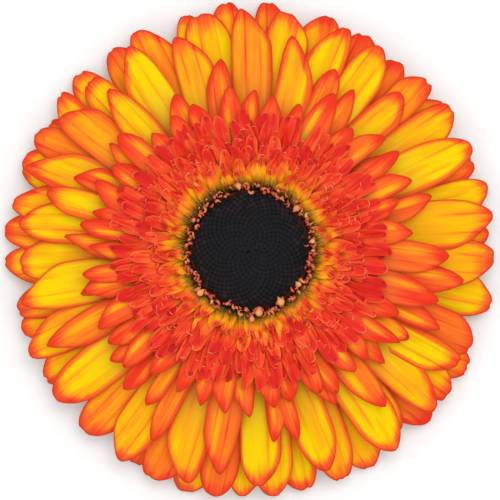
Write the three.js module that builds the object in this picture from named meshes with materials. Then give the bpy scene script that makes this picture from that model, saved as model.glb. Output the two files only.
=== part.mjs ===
// A cut gerbera flower head that lies face up on its short cut stem and on its drooping outer florets.
// Millimetres, +Z up through the face, the origin under the middle of the flower's box.
import * as THREE from "three";

// Thicknesses, and the widths of the claws, the narrow ends by which florets stand on the receptacle.
// A floret narrows to leave a gap to its neighbours, but to no less than the least side on each side.
const FLORET_THICKNESS = 0.42;
const CROWN_THICKNESS = 0.36;
const BRACT_THICKNESS = 0.5;
const RIM_THICKNESS = 0.34;
const CLAW_WIDTH = 1.5;
const LEAST_SIDE = 0.375;
const FLORET_GAP = 0.5;
const EDGE_LIFT = 0.35;
const ROLL_DEGREES = 4;
const WEB_STEP_DEGREES = 9;

// How fast the lift and the roll of the florets in a row vary from one to the next.
const LIFT_PACE = 2.4;
const ROLL_PACE = 1.7;

// Where along a floret its sides stop spreading, how long its rounded tip is against its width, a
// bract's longer tip too, and how much of the width is left at the very end.
const SPREAD_END = 0.58;
const TIP_LENGTH = 0.95;
const BRACT_TIP_LENGTH = 2;
const TIP_WIDTH_SHARE = 0.3;

// The midline of each row in the upright plane through the flower's axis, as [distance from the axis,
// height]: its base on the receptacle, the two points that it bends towards, and its usual tip. A floret
// that ends short of there ends higher, by the row's fall for each millimetre. Lift is how far up or
// down a tip may stray from its row.
const MIDLINES = {
  back: { base: [18.4, 9.25], rise: [22.5, 13.4], arch: [40, 14.45], tip: [55, 3.2], fall: 0.7, lift: 0.7 },
  second: { base: [17.7, 9.7], rise: [22, 15.4], arch: [40, 16.8], tip: [55, 5.4], fall: 0.7, lift: 0.4 },
  front: { base: [17.0, 10.1], rise: [21.5, 17.4], arch: [39, 18.95], tip: [54, 8.4], fall: 0.7, lift: 0.4 },
  middle: { base: [16.3, 10.55], rise: [20.6, 19.2], arch: [32, 21.3], tip: [44, 16], fall: 0.5, lift: 0.2 },
  red: { base: [15.6, 11], rise: [19.3, 20.9], arch: [26, 23.6], tip: [37, 20.5], fall: 0.38, lift: 0.15 },
  outerCrown: { base: [14.9, 11.4], rise: [17.8, 21.9], arch: [21, 24.55], tip: [31, 23.1], lift: 0.1 },
  middleCrown: { base: [14.2, 11.8], rise: [16.4, 21.9], arch: [18.5, 25], tip: [25.6, 24.9], lift: 0.1 },
  innerCrown: { base: [13.5, 12.2], rise: [14.9, 21.4], arch: [15.8, 24.6], tip: [20.4, 25.6], lift: 0.1 },
  rim: { base: [12.85, 12.6], rise: [13.0, 16.5], arch: [13.9, 20.5], tip: [14.7, 23.3], lift: 0.3 },
  innerBract: { base: [6.2, 2.25], rise: [11.5, 3.8], arch: [17.5, 6.75], tip: [22.6, 9.4], lift: 0.1 },
  outerBract: { base: [5.0, 1.0], rise: [9.5, 1.6], arch: [13.5, 3.3], tip: [16, 5.0], lift: 0.1 },
};

// How thick each kind of blade is and how finely it is divided: the places of its rows of points along
// the midline, as shares from base to tip, and the strips across. A joined row's first step is its web.
const SEPARATE_GRID = { thickness: FLORET_THICKNESS, steps: [0, 0.16, 0.4, 0.66, 0.84, 0.95, 1], strips: 2 };
const WIDE_GRID = { thickness: FLORET_THICKNESS, steps: [0, 0.12, 0.45, 0.74, 0.92, 1], strips: 2 };
const MIDDLE_GRID = { thickness: FLORET_THICKNESS, steps: [0, 0.14, 0.55, 0.88, 1], strips: 2 };
const NARROW_GRID = { thickness: FLORET_THICKNESS, steps: [0, 0.16, 0.6, 0.88, 1], strips: 1 };
const CROWN_GRID = { thickness: CROWN_THICKNESS, steps: [0, 0.25, 0.75, 1], strips: 1 };
const BRACT_GRID = { thickness: BRACT_THICKNESS, steps: [0, 0.3, 0.7, 1], strips: 1, tip: BRACT_TIP_LENGTH };
const RIM_GRID = { thickness: RIM_THICKNESS, steps: [0, 0.6, 1], strips: 1 };

// Florets seen from above, counter-clockwise from +X: [direction in degrees, reach, greatest width].
const BACK_FLORETS = [
  [4, 53.1, 8], [21.2, 53.1, 7], [37.8, 54.1, 7.5], [51.3, 53.7, 8], [73, 55.2, 9.5],
  [84.8, 55.2, 8], [96.3, 55.1, 7.5], [104.3, 54.7, 7.5], [124, 53.8, 8.5], [135.8, 55.3, 8.5],
  [148.3, 53.2, 6.5], [158.8, 54.7, 8.5], [174.6, 54.7, 8.5], [184.3, 55, 8.8], [198.7, 53.9, 7],
  [214, 52.8, 8], [228, 52.8, 8], [240.7, 54.4, 7], [256.6, 56.2, 9.5], [269, 54.7, 8.5],
  [282, 54.7, 9], [300, 55.8, 9], [316.5, 55.7, 8.5], [331.2, 54.8, 9], [349, 55.4, 10],
];
const SECOND_FLORETS = [
  [13.4, 55.4, 9.5], [34, 54.3, 8.5], [44.7, 54.2, 7.5], [61, 54.2, 8], [79.8, 53.9, 9],
  [101, 53.5, 9.5], [115.8, 54.7, 10], [134, 52.2, 8.5], [142, 54.8, 7.5], [152, 54.2, 7.5],
  [167, 53.8, 9.5], [182.5, 51.5, 8.5], [193.7, 53.7, 7.5], [211.5, 54.3, 9], [228.2, 54.8, 9.8],
  [247.5, 55, 9.5], [261.5, 54.9, 7.5], [275.8, 55.5, 8.5], [292, 54.7, 8.5], [308, 52.7, 8],
  [324.8, 54.4, 7], [337.3, 54.2, 10], [356.2, 54.5, 10],
];
const FRONT_FLORETS = [
  [6.2, 54.9, 10.7], [25.5, 54.4, 9.9], [44, 48.7, 7.4], [56.3, 53.4, 9.9], [68.1, 54.1, 9.4],
  [90, 53.9, 9.5], [107, 50.6, 9], [122.7, 53.1, 9.6], [142.6, 51.8, 9.7], [157, 52.9, 9.3],
  [173.4, 52, 9.2], [190.5, 51.8, 10.6], [203.5, 54.4, 9.5], [218, 54.8, 10.5], [236.5, 55.2, 10.3],
  [252, 53.3, 9.4], [272.8, 52.9, 9.4], [290, 51.5, 8.9], [306, 54.8, 10.4], [320.3, 54.3, 9.6],
  [330.2, 53.1, 9],
];
const MIDDLE_FLORETS = [
  [15.5, 42.4, 5.8], [35.5, 39, 5.8], [56, 42.4, 6.1], [64.8, 44.6, 6.5], [76.5, 48.2, 8.9],
  [99.7, 43.3, 6.5], [117, 38.5, 5.8], [132.3, 47.6, 7.8], [144, 39, 5.8], [155.5, 42.4, 6.3],
  [164.8, 46.6, 7.1], [178, 41.3, 6.1], [192.5, 39, 5.8], [207.3, 49.5, 7.8], [218.5, 39.5, 5.8],
  [229, 41.3, 5.5], [236.3, 41.5, 6.3], [242.3, 47.5, 6.6], [260, 50.2, 8.1], [278.6, 42.8, 5.5],
  [284.4, 43, 5.5], [296.5, 39.5, 5.8], [309.8, 45.5, 7.1], [322, 39, 5.8], [330.5, 40.5, 6.8],
  [338, 45.4, 6.3], [351, 47.7, 7.1],
];
const RED_FLORETS = [
  [7, 36.4, 5.6], [17, 34.4, 5.2], [25, 39, 5.6], [33.5, 39, 5.6], [41.5, 39, 5.6],
  [50, 35.2, 5.2], [61, 39, 6], [70, 33.9, 5.2], [79.5, 34.2, 5.4], [90.5, 35.6, 5.6],
  [98.5, 36.6, 5.6], [111.5, 34.8, 5.6], [120.5, 34.1, 5.2], [130, 33.9, 5.2], [138.5, 38.6, 5.8],
  [148, 35.7, 5.4], [157, 37.6, 5.8], [165, 35.7, 5.2], [172.5, 38.1, 5.6], [180.5, 35.7, 5.2],
  [188.3, 37, 5.4], [195.5, 37.9, 5.4], [205.5, 37.7, 5.8], [214.5, 37.6, 5.6], [222, 38.4, 5.6],
  [232, 34.8, 5.2], [242.7, 35, 5.4], [250.5, 35.8, 5.2], [259, 36.4, 5.4], [268, 36.7, 5.4],
  [276.5, 35.5, 5.4], [286, 34.8, 5.4], [295, 35.5, 5.4], [302.5, 37.1, 5.4], [310.5, 35.5, 5.4],
  [318.5, 35.7, 5.4], [326.5, 38.7, 5.6], [336, 35.7, 5.4], [346, 43.3, 6.2], [356, 44, 6.2],
];

// The crown of small florets: how many stand in each ring, how wide they are, and the two reaches in
// each ring, its florets reaching to one and the other by turns.
const OUTER_CROWN = { count: 48, width: 3.2, reaches: [31, 28.2] };
const MIDDLE_CROWN = { count: 44, width: 2.8, reaches: [25.6, 22.9] };
const INNER_CROWN = { count: 36, width: 2.4, reaches: [20.4, 17.8] };

// Green bracts under the florets, in two overlapping rings.
const INNER_BRACTS = { count: 20, width: 4.4, reaches: [22.6, 22.0] };
const OUTER_BRACTS = { count: 16, width: 4.0, reaches: [16.0, 15.4] };

// The receptacle with the stub of its stem, as a profile turned about the axis.
const STEM_RADIUS = 3.4;
const STEM_CHAMFER = 0.3;
const RECEPTACLE_PROFILE = [
  [0, 0], [STEM_RADIUS - STEM_CHAMFER, 0], [STEM_RADIUS, STEM_CHAMFER], [STEM_RADIUS, 2.1],
  [5.5, 2.75], [10.5, 4.6], [14.5, 6.7], [17.2, 8.1], [18.5, 8.6], [17.7, 9.1],
  [15.6, 10.4], [13.5, 11.6], [12, 12.0], [0, 12.4],
];
const TURNED_SIDES = 28;

// The dark eye of closed disc florets, and the opened ones standing around it.
const EYE_PROFILE = [
  [0, 12.75], [11.6, 12.4], [12, 12.7], [12.15, 15], [12.85, 20.2], [12.5, 21.2], [8.5, 22.0],
  [4.5, 22.3], [0, 22.4],
];
const RIM_FLORETS = { count: 34, width: 1.3, reaches: [14.7, 14.3] };

const petalYellow = 0xf7b60c;
const petalOrange = 0xf2801c;
const petalRed = 0xe8401c;
const FINISHES = {
  front: finish(petalYellow, 0.5),
  second: finish(petalYellow, 0.5),
  back: finish(petalOrange, 0.5),
  middle: finish(petalOrange, 0.5),
  red: finish(petalRed, 0.5),
  crown: finish(petalRed, 0.45),
  bract: finish(0x6f8f3a, 0.65),
  stem: finish(0x7fa045, 0.6),
  eye: finish(0x1b1b1d, 0.7),
  rim: finish(0xe07a45, 0.55),
};

function finish(color, roughness) {
  return new THREE.MeshStandardMaterial({ color, roughness, metalness: 0 });
}

function point(at) {
  return new THREE.Vector3(at[0], at[1], 0);
}

function midlineOf({ base, rise, arch, tip, fall = 0, lift }, reach, lifted) {
  const [usualReach, height] = tip;
  const end = [reach, height + fall * (usualReach - reach) + lifted * lift];
  return new THREE.CubicBezierCurve3(...[base, rise, arch, end].map(point));
}

// How wide a floret is at a share of its length, against its greatest width. Its tip is half an ellipse.
function widthShare(along, length, width, tip) {
  const claw = CLAW_WIDTH / width;
  const spread = THREE.MathUtils.smoothstep(along, 0, SPREAD_END);
  const rounding = Math.max(0, 1 - ((1 - along) * length) / (tip * width));
  const rounded = Math.sqrt(1 - rounding * rounding);
  return THREE.MathUtils.lerp(claw, 1, spread) * Math.max(rounded, TIP_WIDTH_SHARE);
}

// One floret or bract: a thin blade along its midline, as the points of its upper and its lower face,
// row by row from base to tip. It narrows where its neighbours of the same row would touch it, its
// edges stand up a little, and it is rolled about its own length.
function bladePoints({ row, direction, reach, width, room, lift, roll, thickness, steps, strips, tip }) {
  const midline = midlineOf(row, reach, lift);
  const tilt = Math.sin(THREE.MathUtils.degToRad(roll));
  const azimuth = THREE.MathUtils.degToRad(direction);
  const outward = new THREE.Vector3(Math.cos(azimuth), Math.sin(azimuth), 0);
  const sideways = new THREE.Vector3(-Math.sin(azimuth), Math.cos(azimuth), 0);
  const face = (offset) =>
    steps.map((along) => {
      const middle = midline.getPoint(along);
      const tangent = midline.getTangent(along);
      const distance = (middle.x - row.base[0]) / (reach - row.base[0]);
      const share = widthShare(distance, reach - row.base[0], width, tip ?? TIP_LENGTH);
      return Array.from({ length: strips + 1 }, (_, strip) => {
        const across = (2 * strip) / strips - 1;
        const neighbour = across < 0 ? room[0] : room[1];
        const allowed = Math.max(LEAST_SIDE, middle.x * Math.tan(neighbour / 2) - FLORET_GAP / 2);
        const side = across * Math.min((width * share) / 2, allowed);
        const height = offset + EDGE_LIFT * across * across * share + side * tilt * distance;
        return new THREE.Vector3(0, 0, middle.y + tangent.x * height)
          .addScaledVector(outward, middle.x - tangent.y * height)
          .addScaledVector(sideways, side);
      });
    });
  return { upper: face(thickness / 2), lower: face(-thickness / 2) };
}

// Adds the flat patch with the corners a, b, c and d, counter-clockwise seen from outside.
function addPatch(corners, a, b, c, d) {
  for (const corner of [a, b, c, a, c, d]) {
    corners.push(corner.x, corner.y, corner.z);
  }
}

// Closes a blade all round. Its sides start at the row of points that openRows gives, so that a web
// can be joined to the sides below it.
function addBlade(corners, { upper, lower }, openRows) {
  const last = upper.length - 1;
  const edge = upper[0].length - 1;
  for (let i = 0; i < last; i++) {
    for (let j = 0; j < edge; j++) {
      addPatch(corners, upper[i][j], upper[i + 1][j], upper[i + 1][j + 1], upper[i][j + 1]);
      addPatch(corners, lower[i][j], lower[i][j + 1], lower[i + 1][j + 1], lower[i + 1][j]);
    }
    if (i >= openRows) {
      addPatch(corners, upper[i][0], lower[i][0], lower[i + 1][0], upper[i + 1][0]);
      addPatch(corners, lower[i][edge], upper[i][edge], upper[i + 1][edge], lower[i + 1][edge]);
    }
  }
  for (let j = 0; j < edge; j++) {
    addPatch(corners, lower[0][j], upper[0][j], upper[0][j + 1], lower[0][j + 1]);
    addPatch(corners, upper[last][j], lower[last][j], lower[last][j + 1], upper[last][j + 1]);
  }
}

// The web between the claws of two neighbours, in short steps around the axis.
function addWeb(corners, here, next, turn) {
  const edge = here.upper[0].length - 1;
  const ends = (blade, column) => [
    blade.upper[0][column],
    blade.upper[1][column],
    blade.lower[1][column],
    blade.lower[0][column],
  ];
  const from = ends(here, edge);
  const to = ends(next, 0);
  const count = Math.max(1, Math.round(THREE.MathUtils.radToDeg(turn) / WEB_STEP_DEGREES));
  const section = (step) => {
    if (step === 0) return from;
    if (step === count) return to;
    return from.map((corner, index) => between(corner, to[index], step / count));
  };
  for (let step = 0; step < count; step++) {
    const [a, b, c, d] = section(step);
    const [e, f, g, h] = section(step + 1);
    addPatch(corners, a, b, f, e);
    addPatch(corners, b, c, g, f);
    addPatch(corners, c, d, h, g);
    addPatch(corners, d, a, e, h);
  }
}

// The point at a share of the way around the axis from one point to another.
function between(start, end, share) {
  const from = Math.atan2(start.y, start.x);
  const turn = THREE.MathUtils.euclideanModulo(Math.atan2(end.y, end.x) - from, 2 * Math.PI);
  const distance = THREE.MathUtils.lerp(Math.hypot(start.x, start.y), Math.hypot(end.x, end.y), share);
  const angle = from + turn * share;
  return new THREE.Vector3(
    distance * Math.cos(angle),
    distance * Math.sin(angle),
    THREE.MathUtils.lerp(start.z, end.z, share),
  );
}

function closedSurface(corners) {
  const geometry = new THREE.BufferGeometry();
  geometry.setAttribute("position", new THREE.Float32BufferAttribute(corners, 3));
  return geometry;
}

// A smooth stray between -1 and 1 for the floret of a given number, the same each time.
function stray(number, pace) {
  return Math.sin(number * pace);
}

// The angles from each floret to its two neighbours in the row.
function roomBeside(directions, index) {
  const here = directions[index];
  const before = directions.at(index - 1);
  const after = directions[(index + 1) % directions.length];
  const turn = (angle) => THREE.MathUtils.degToRad(THREE.MathUtils.euclideanModulo(angle, 360));
  return [turn(here - before), turn(after - here)];
}

function bladesOf(row, florets, grid) {
  const directions = florets.map(([direction]) => direction);
  return florets.map(([direction, reach, width], index) => {
    const room = roomBeside(directions, index);
    const lift = stray(index, LIFT_PACE);
    const roll = ROLL_DEGREES * stray(index, ROLL_PACE);
    return { room, ...bladePoints({ row, direction, reach, width, room, lift, roll, ...grid }) };
  });
}

// An even ring of blades that reach to one distance and the other by turns.
function evenFlorets({ count, width, reaches }) {
  return Array.from({ length: count }, (_, index) => [
    (360 * index) / count,
    reaches[index % reaches.length],
    width,
  ]);
}

// A whole row in one piece, its claws joined by a web as high as the first step of the grid.
function ringOfBlades(row, florets, grid) {
  const blades = bladesOf(row, florets, grid);
  const corners = [];
  blades.forEach((blade, index) => {
    addBlade(corners, blade, 1);
    addWeb(corners, blade, blades[(index + 1) % blades.length], blade.room[1]);
  });
  return closedSurface(corners);
}

// A profile turned about +Z, its points running counter-clockwise in the plane of distance and height.
function turned(profile) {
  const points = profile.map(([distance, height]) => new THREE.Vector2(distance, height));
  return new THREE.LatheGeometry(points, TURNED_SIDES).rotateX(Math.PI / 2);
}

const flower = new THREE.Group();

function addPiece(name, geometry, material) {
  const mesh = new THREE.Mesh(geometry, material);
  mesh.name = name;
  flower.add(mesh);
}

function addRow(name, row, florets, grid, material) {
  addPiece(name, ringOfBlades(row, florets, grid), material);
}

function addSeparateFlorets(name, row, florets, material) {
  bladesOf(row, florets, SEPARATE_GRID).forEach((blade, index) => {
    const corners = [];
    addBlade(corners, blade, 0);
    addPiece(`${name}_${String(index + 1).padStart(2, "0")}`, closedSurface(corners), material);
  });
}

addPiece("stem_and_receptacle", turned(RECEPTACLE_PROFILE), FINISHES.stem);
addRow("outer_bracts", MIDLINES.outerBract, evenFlorets(OUTER_BRACTS), BRACT_GRID, FINISHES.bract);
addRow("inner_bracts", MIDLINES.innerBract, evenFlorets(INNER_BRACTS), BRACT_GRID, FINISHES.bract);
addSeparateFlorets("back_floret", MIDLINES.back, BACK_FLORETS, FINISHES.back);
addRow("second_florets", MIDLINES.second, SECOND_FLORETS, WIDE_GRID, FINISHES.second);
addSeparateFlorets("front_floret", MIDLINES.front, FRONT_FLORETS, FINISHES.front);
addRow("middle_florets", MIDLINES.middle, MIDDLE_FLORETS, MIDDLE_GRID, FINISHES.middle);
addRow("red_florets", MIDLINES.red, RED_FLORETS, NARROW_GRID, FINISHES.red);
addRow("outer_crown", MIDLINES.outerCrown, evenFlorets(OUTER_CROWN), CROWN_GRID, FINISHES.crown);
addRow("middle_crown", MIDLINES.middleCrown, evenFlorets(MIDDLE_CROWN), CROWN_GRID, FINISHES.crown);
addRow("inner_crown", MIDLINES.innerCrown, evenFlorets(INNER_CROWN), CROWN_GRID, FINISHES.crown);
addRow("rim_florets", MIDLINES.rim, evenFlorets(RIM_FLORETS), RIM_GRID, FINISHES.rim);
addPiece("eye", turned(EYE_PROFILE), FINISHES.eye);

// The origin goes under the middle of the whole flower's box.
const box = new THREE.Box3().setFromObject(flower);
const middle = box.getCenter(new THREE.Vector3());
flower.position.set(-middle.x, -middle.y, -box.min.z);

export default flower;
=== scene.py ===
# A cut gerbera flower head, lying face up: its florets, eye, bracts and stem on the packed frame.
import math
from types import SimpleNamespace

import bpy
import numpy as np
from bpy.props import FloatProperty, FloatVectorProperty, PointerProperty
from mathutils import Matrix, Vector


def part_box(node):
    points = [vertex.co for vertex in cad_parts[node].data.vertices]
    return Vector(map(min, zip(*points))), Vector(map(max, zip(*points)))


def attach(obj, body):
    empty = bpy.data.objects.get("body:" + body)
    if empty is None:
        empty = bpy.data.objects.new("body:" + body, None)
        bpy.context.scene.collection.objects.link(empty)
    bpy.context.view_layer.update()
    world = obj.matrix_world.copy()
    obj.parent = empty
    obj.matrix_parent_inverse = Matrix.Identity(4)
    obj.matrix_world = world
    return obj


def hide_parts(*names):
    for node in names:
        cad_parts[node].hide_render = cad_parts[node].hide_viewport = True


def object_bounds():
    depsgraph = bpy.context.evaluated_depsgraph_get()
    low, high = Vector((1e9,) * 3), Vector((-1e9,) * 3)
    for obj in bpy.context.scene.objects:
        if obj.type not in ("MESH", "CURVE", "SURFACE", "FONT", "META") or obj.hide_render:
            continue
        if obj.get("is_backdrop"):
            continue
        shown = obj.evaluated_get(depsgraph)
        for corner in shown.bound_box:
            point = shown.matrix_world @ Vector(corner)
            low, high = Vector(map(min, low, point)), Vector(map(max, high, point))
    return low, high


bl_info = {
    "name": "Gerbera flower head",
    "version": (1, 0, 0),
    "blender": (4, 5, 0),
    "location": "3D View > Sidebar > Gerbera",
    "description": "Builds the florets, eye, bracts, stem and stage of a cut gerbera flower head",
    "category": "Add Mesh",
}

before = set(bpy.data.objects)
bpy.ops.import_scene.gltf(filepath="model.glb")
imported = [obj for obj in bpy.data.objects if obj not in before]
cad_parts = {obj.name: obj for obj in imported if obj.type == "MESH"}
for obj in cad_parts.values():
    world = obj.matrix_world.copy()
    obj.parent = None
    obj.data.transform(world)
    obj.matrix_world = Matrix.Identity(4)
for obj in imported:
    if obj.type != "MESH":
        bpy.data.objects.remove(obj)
CAD_BOX = [list(corner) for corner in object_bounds()]

# Shapes are worked out in millimetres, and the meshes are in metres.
MM = 0.001
SEED = 7

# The flower's axis stands in the middle of its stem.
AXIS = sum(np.array(corner[:2]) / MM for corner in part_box("stem_and_receptacle")) / 2

# Corners of the frame nearer than WELD are one, and a step outwards over ROW_STEP parts two rows.
WELD = 0.01
ROW_STEP = 0.5

# How deep a floret's tip is, and in how many even steps its midline is kept.
TIP_DEPTH = 1.0
MIDLINE_STEPS = 64

# How red a floret is: v vivid yellow, y yellow, a amber, o orange, c coral, r red, d dark red. Then
# the florets of each row, counter-clockwise from the photograph's right.
TONES = {"v": 0.0, "y": 0.08, "a": 0.2, "o": 0.36, "c": 0.58, "r": 0.76, "d": 0.92}
ROWS = {
    "back": "acacoooyoaoyoaaaaoyyyacay",
    "second": "yaocayoyycayaaoccyaaaca",
    "front": "ayayyoavoayvayaavyvav",
    "middle": "rcrcoccycryccccdcccrrcccorr",
}
RED_COUNT = 40


def blade_form(
    stations, lines, claw, tip, point, skew, crowd=1, spread=(0, 0.6), overrun=0, teeth=(0, 0)
):
    """How a kind of blade is drawn: its rows of points from base to tip, its lines from side to side
    and its claw's width. Then ranges: how long the rounded tip is against the width, how pointed and
    how far to either side it ends. Rows crowd towards the tip where crowd is over 1, the claw widens
    over the spread, the rounding aims up to overrun past the end, and teeth are the notches' depths."""
    return SimpleNamespace(**locals())


LONG_BLADE = blade_form(26, 21, 1.5, (0.65, 1.05), (0.42, 0.62), 0.4, overrun=0.5, teeth=(0.1, 0.6))
FRONT_BLADE = blade_form(26, 21, 1.5, (0.75, 1.3), (0.45, 0.74), 0.55, overrun=0.2, teeth=(0, 0.45))
SHORT_BLADE = blade_form(18, 13, 1.4, (1.0, 1.7), (0.55, 0.8), 0.6, crowd=1.2, teeth=(0, 0.15))
SPOON_BLADE = blade_form(
    8, 7, 3.0, (0.6, 1.0), (0.42, 0.64), 0.4, crowd=2, spread=(0.4, 0.9), teeth=(0, 0.3)
)
BRACT_BLADE = blade_form(12, 7, 3.0, (2.2, 2.6), (0.85, 0.95), 0.1, spread=(0, 0.4))

# Blades stop this much short of the frame's florets, so that nothing stands out of its box.
SHORTER = 0.2

# Edges of a piece that turn by more than this, in degrees, look sharp.
CREASE = 60

# Nearly all of a noise lies between these values.
NOISE_LOW, NOISE_HIGH = 0.3, 0.7


def linear(hex_value):
    """The linear colour of an sRGB hex value such as 0xFFD500."""
    channels = [(hex_value >> shift & 0xFF) / 255 for shift in (16, 8, 0)]
    return tuple(c / 12.92 if c <= 0.04045 else ((c + 0.055) / 1.055) ** 2.4 for c in channels)


def size(name, text, millimetres):
    """A property for a length, its default given in millimetres."""
    default = millimetres * MM
    return FloatProperty(name=name, description=text, default=default, unit="LENGTH", precision=5)


def angle(name, text, degrees):
    """A property for an angle, its default given in degrees."""
    return FloatProperty(name=name, description=text, default=math.radians(degrees), subtype="ANGLE")


def colour(name, text, hex_value):
    """A property for a colour, its default given as an sRGB hex value."""
    return FloatVectorProperty(
        name=name, description=text, default=linear(hex_value), subtype="COLOR", min=0, max=1
    )


class GerberaPetalSettings(bpy.types.PropertyGroup):
    """Sizes and colours of the long florets."""

    thickness: size("Thickness", "Thickness along a petal's middle", 0.34)
    groove: size("Groove depth", "Depth of the two lengthwise grooves", 0.26)
    ruffle: size("Ruffle", "Height of the waves along the edges", 0.32)
    camber: size("Camber", "How far the sides fall away from the middle", 0.55)
    roll: angle("Roll", "How far a petal turns about its length", 6)
    vein: size("Vein spacing", "Spacing of the lengthwise veins", 0.42)
    margin: size("Margin", "Width of the red band along the edges", 1.45)
    flush: size("Tip flush", "How far the red runs in from the tip", 6.0)
    vivid: colour("Vivid yellow", "The clearest yellow", 0xF0CA00)
    yellow: colour("Yellow", "The common yellow", 0xF0B204)
    amber: colour("Amber", "Between yellow and orange", 0xF8A014)
    orange: colour("Orange", "Orange", 0xF6761E)
    coral: colour("Coral", "Orange red", 0xEC5226)
    red: colour("Red", "The red of tips and short florets", 0xE4301C)
    deep: colour("Deep red", "The red of the crown's reddest florets", 0xD21E18)
    # Outline: partly the long petals' own red edge and partly painted shade along it.
    outline: colour("Outline", "The thin red line round a long petal", 0xC43C16)
    # Crimson: the short petals' own dark points, and painted shade in the crown florets' hollows.
    crimson: colour("Crimson", "The darkest red, in hollows and at tips", 0xBA1614)
    # Rim pink: a painted highlight on the crown florets' rims, and the pale colour of the curled lips.
    pink: colour("Rim pink", "The pale thin rims of the crown's florets", 0xFF7C58)
    # The duller colour of a petal's back, also mixed over the claws as painted shade.
    underside: colour("Underside", "The duller back and claw of a petal", 0xD89C3C)


class GerberaCrownSettings(bpy.types.PropertyGroup):
    """Sizes of the small cupped florets."""

    thickness: size("Thickness", "Thickness of a crown floret", 0.24)
    cup: size("Cup depth", "How far the sides of a spoon stand up", 0.95)
    scoop: size("Scoop", "How far the end of a spoon turns up", 0.75)
    roll: angle("Roll", "How far a spoon turns about its length", 30)
    sway: angle("Sway", "How far a spoon strays from its place", 2.4)


class GerberaEyeSettings(bpy.types.PropertyGroup):
    """Sizes and colours of the eye, the opened florets around it and the bristles."""

    floret: size("Floret spacing", "Distance between the closed florets", 1.05)
    dark: colour("Closed florets", "The near black of the closed florets", 0x1C1C1E)
    sheen: colour("Floret tips", "The faint brown of some floret tips", 0x34262A)
    salmon: colour("Opened florets", "Salmon of the opened disc florets", 0xC44A34)
    peach: colour("Pale opened florets", "Peach of the palest opened florets", 0xE69C5C)
    bed: colour("Bed", "The brown edge of the florets' bed", 0x7A3A18)
    bristle: colour("Bristles", "Olive brown at the bristles' feet", 0x5E4412)
    gold: colour("Bristle ends", "Dull gold at the bristles' ends", 0xD2A63A)


class GerberaGreenSettings(bpy.types.PropertyGroup):
    """Sizes and colours of the bracts and the stem."""

    rib: size("Rib depth", "Depth of the ribs along the stem", 0.18)
    vein: size("Vein spacing", "Spacing of the lengthwise veins", 0.35)
    leaf: colour("Bract green", "The bracts' green", 0x5E8434)
    edge: colour("Bract edge", "The bracts' brown red edges", 0x7A4A34)
    stem: colour("Stem green", "The stem's green", 0x78983E)
    pith: colour("Pith", "The pale inside of the cut stem", 0xCFD6A0)


class GerberaStageSettings(bpy.types.PropertyGroup):
    """Camera, light and floor."""

    distance: size("Camera distance", "From the camera down to the florets", 1200)
    width: size("View width", "What the picture's width shows", 110.7)
    plane: size("Plane", "Height at which the view has that width", 10)
    floor: colour("Floor", "The pale floor", 0xFBFBFB)


def corners_of(node):
    """The distinct corners of a CAD node in millimetres about the flower's axis, and its triangles."""
    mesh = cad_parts[node].data
    corners = np.array([vertex.co for vertex in mesh.vertices], np.float32)
    triangles = [loop.vertex_index for loop in mesh.loops]
    steps = np.round(corners / (MM * WELD)).astype(np.int64)
    places, which = np.unique(steps, axis=0, return_inverse=True)
    places = places * WELD - [*AXIS, 0]
    return places, which.ravel()[triangles].reshape(-1, 3)


def joined_groups(count, triangles):
    """A number for each corner, the same for all that triangles join: the lowest one spreads."""
    numbers = np.arange(count)
    while True:
        spread = numbers.copy()
        np.minimum.at(spread, triangles, numbers[triangles].min(axis=1)[:, None])
        if np.array_equal(spread, numbers):
            return numbers
        numbers = spread


def row_centres(corners):
    """The corners' rows, parted by steps in distance from the axis, each as its mean."""
    ordered = corners[np.argsort(corners[:, 0])]
    cuts = np.flatnonzero(np.diff(ordered[:, 0]) > ROW_STEP) + 1
    return np.array([row.mean(axis=0) for row in np.split(ordered, cuts)])


def floret(corners, start):
    """What a floret's corners say: its direction, width and midline, which is a cubic through the
    centres of its rows, as distance, height and lean at even steps of its length."""
    distance = np.hypot(corners[:, 0], corners[:, 1])
    tip = corners[distance > distance.max() - TIP_DEPTH].mean(axis=0)
    direction = math.atan2(tip[1], tip[0])
    across = corners[:, 1] * math.cos(direction) - corners[:, 0] * math.sin(direction)
    outward = corners[:, 0] * math.cos(direction) + corners[:, 1] * math.sin(direction)
    centres = row_centres(np.column_stack([outward, corners[:, 2]]))
    centres = np.vstack([start, centres]) if len(start) else centres
    gone = np.concatenate([[0], np.cumsum(np.hypot(*np.diff(centres, axis=0).T))])
    cubic = np.polynomial.polynomial.polyfit(gone / gone[-1], centres, 3)
    share = np.linspace(0, 1, MIDLINE_STEPS + 1)
    reach, height = np.polynomial.polynomial.polyval(share, cubic)
    return SimpleNamespace(
        direction=direction % (2 * math.pi), width=np.ptp(across), share=share, length=gone[-1],
        reach=reach, height=height, lean=np.arctan2(np.gradient(height), np.gradient(reach)),
    )


def florets_of(node):
    """The florets of a joined row, counter-clockwise: without the web between their claws, which ends
    at the second step in distance from the axis, what is still joined is a floret."""
    corners, triangles = corners_of(node)
    distance = np.hypot(corners[:, 0], corners[:, 1])
    ordered = np.sort(distance)
    foot, top = ordered[np.flatnonzero(np.diff(ordered) > ROW_STEP)[:2]] + ROW_STEP / 2
    start = [
        (distance[row].mean(), corners[row, 2].mean())
        for row in (distance < foot, (distance > foot) & (distance < top))
    ]
    outer = triangles[(distance[triangles] > top).all(axis=1)]
    numbers = joined_groups(len(corners), outer)
    groups = [corners[numbers == number] for number in np.unique(numbers[outer])]
    return sorted((floret(group, start) for group in groups), key=lambda one: one.direction)


def smooth(value, start=0, length=1):
    """Rises from 0 at the start to 1 a length further on, level at both ends."""
    share = np.clip((value - start) / length, 0, 1)
    return share * share * (3 - 2 * share)


def bell(value):
    """1 at 0, falling to nearly 0 at 2 on both sides."""
    return np.exp(-(value**2))


def about_axis(direction, out, along, height):
    """Points that lie out from the axis in a direction, and along at a right angle to it."""
    cos, sin = np.cos(direction), np.sin(direction)
    return np.stack([out * cos - along * sin, out * sin + along * cos, height], axis=-1)


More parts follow.
